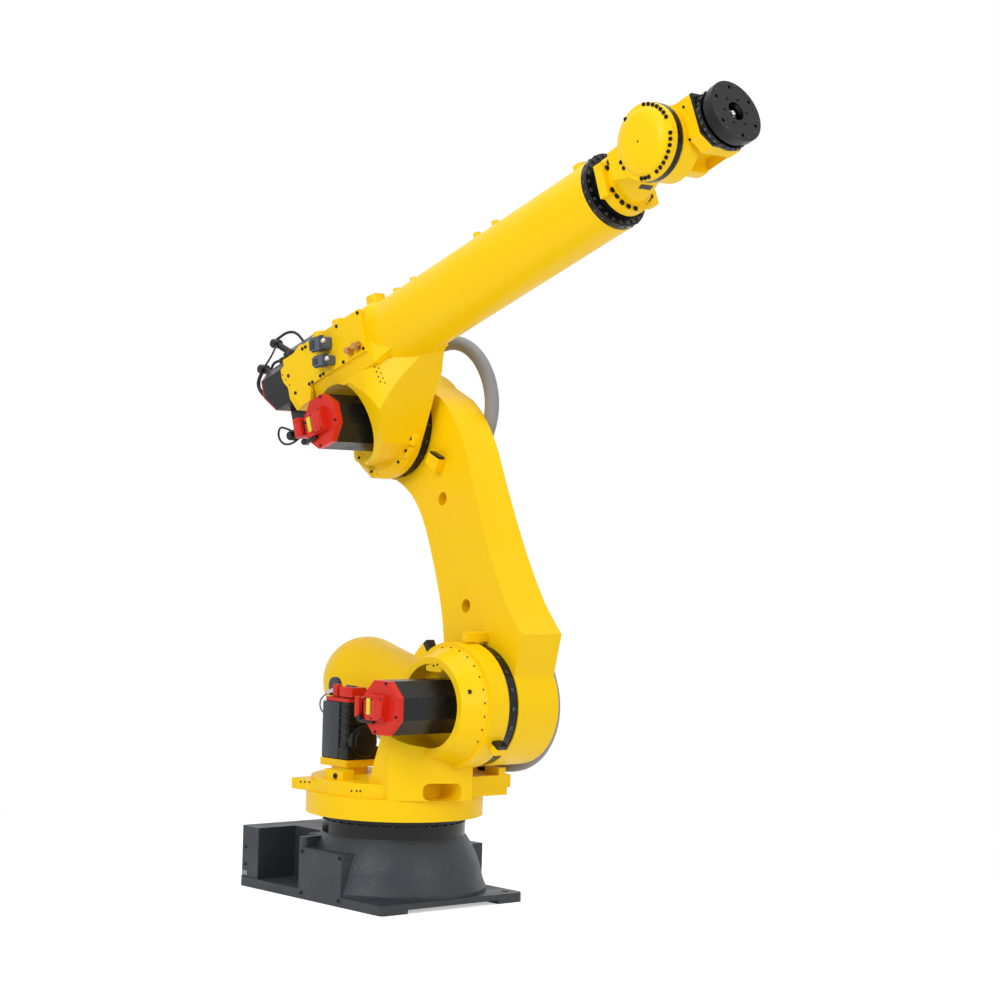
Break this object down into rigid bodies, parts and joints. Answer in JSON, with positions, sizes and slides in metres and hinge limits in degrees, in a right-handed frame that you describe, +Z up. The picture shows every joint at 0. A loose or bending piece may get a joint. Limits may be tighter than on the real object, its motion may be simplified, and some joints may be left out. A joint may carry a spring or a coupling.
{
  "type": "industrial robot arm",
  "caption": "Long-reach jointed industrial arm on a cast floor base, with a bolted tool flange that it turns, lifts and tilts.",
  "frame": {"origin": "where the swing axis meets the floor, on the underside of the base", "axes": "+X forward, the way the arm reaches; +Y to the arm's own left; +Z up along the swing axis"},
  "size_m": [2.2499, 0.6903, 2.5989],
  "materials": {
    "yellow_paint": "gloss",
    "base_grey": "matte",
    "black_paint": "satin",
    "motor_black": "matte",
    "red_paint": "satin",
    "connector_grey": "satin",
    "brass_fitting": "satin"
  },
  "bodies": {
    "base": {"base_casting": "base_grey", "base_side_cover": "base_grey", "base_side_cover_left": "base_grey", "swing_ring": "black_paint"},
    "turret": {"balancer_cylinder": "yellow_paint", "balancer_rod": "black_paint", "shoulder_motor": "motor_black", "shoulder_motor_cap": "red_paint", "stop_pad_lower": "motor_black", "stop_pad_upper": "motor_black", "swing_motor": "motor_black", "swing_motor_cap": "red_paint", "swing_motor_plate": "yellow_paint", "turret_casting": "yellow_paint"},
    "lower_arm": {"arm_stop_pad": "motor_black", "elbow_ring": "black_paint", "lower_arm": "yellow_paint", "shoulder_ring": "black_paint"},
    "forearm": {"air_fitting_1": "brass_fitting", "air_fitting_2": "brass_fitting", "connector_plate": "yellow_paint", "connector_plug_1": "connector_grey", "connector_plug_2": "connector_grey", "elbow_motor": "motor_black", "elbow_motor_cap": "red_paint", "forearm_casting": "yellow_paint", "roll_ring": "black_paint", "wrist_motor_1": "motor_black", "wrist_motor_2": "motor_black", "wrist_motor_3": "motor_black", "wrist_motor_cap_1": "red_paint", "wrist_motor_cap_2": "red_paint", "wrist_motor_cap_3": "red_paint"},
    "wrist": {"bend_cover": "yellow_paint", "bend_seal": "black_paint", "wrist_body": "yellow_paint"},
    "hand": {"hand": "yellow_paint", "hand_reducer": "black_paint"},
    "tool_flange": {"tool_flange": "black_paint"}
  },
  "joints": [
    {"name": "swing", "type": "hinge", "parent": "base", "child": "turret", "pos_m": [0, 0, 0.3], "axis": [0, 0, 1], "range_deg": [-185, 185]},
    {"name": "lower_arm_lean", "type": "hinge", "parent": "turret", "child": "lower_arm", "pos_m": [0.312, 0, 0.67], "axis": [0, 1, 0], "range_deg": [-30, 106]},
    {"name": "forearm_lift", "type": "hinge", "parent": "lower_arm", "child": "forearm", "pos_m": [-0.2255, 0, 1.60098], "axis": [0, -1, 0], "range_deg": [-46, 119]},
    {"name": "wrist_roll", "type": "hinge", "parent": "forearm", "child": "wrist", "pos_m": [-0.31203, 0, 1.83872], "axis": [0.9397, 0, 0.342], "range_deg": [-360, 360]},
    {"name": "wrist_bend", "type": "hinge", "parent": "wrist", "child": "hand", "pos_m": [1.27887, 0, 2.41776], "axis": [0, 1, 0], "range_deg": [-122.5, 127.5]},
    {"name": "flange_turn", "type": "hinge", "parent": "hand", "child": "tool_flange", "pos_m": [1.27887, 0, 2.41776], "axis": [0.9239, 0, 0.3827], "range_deg": [-360, 360]}
  ]
}
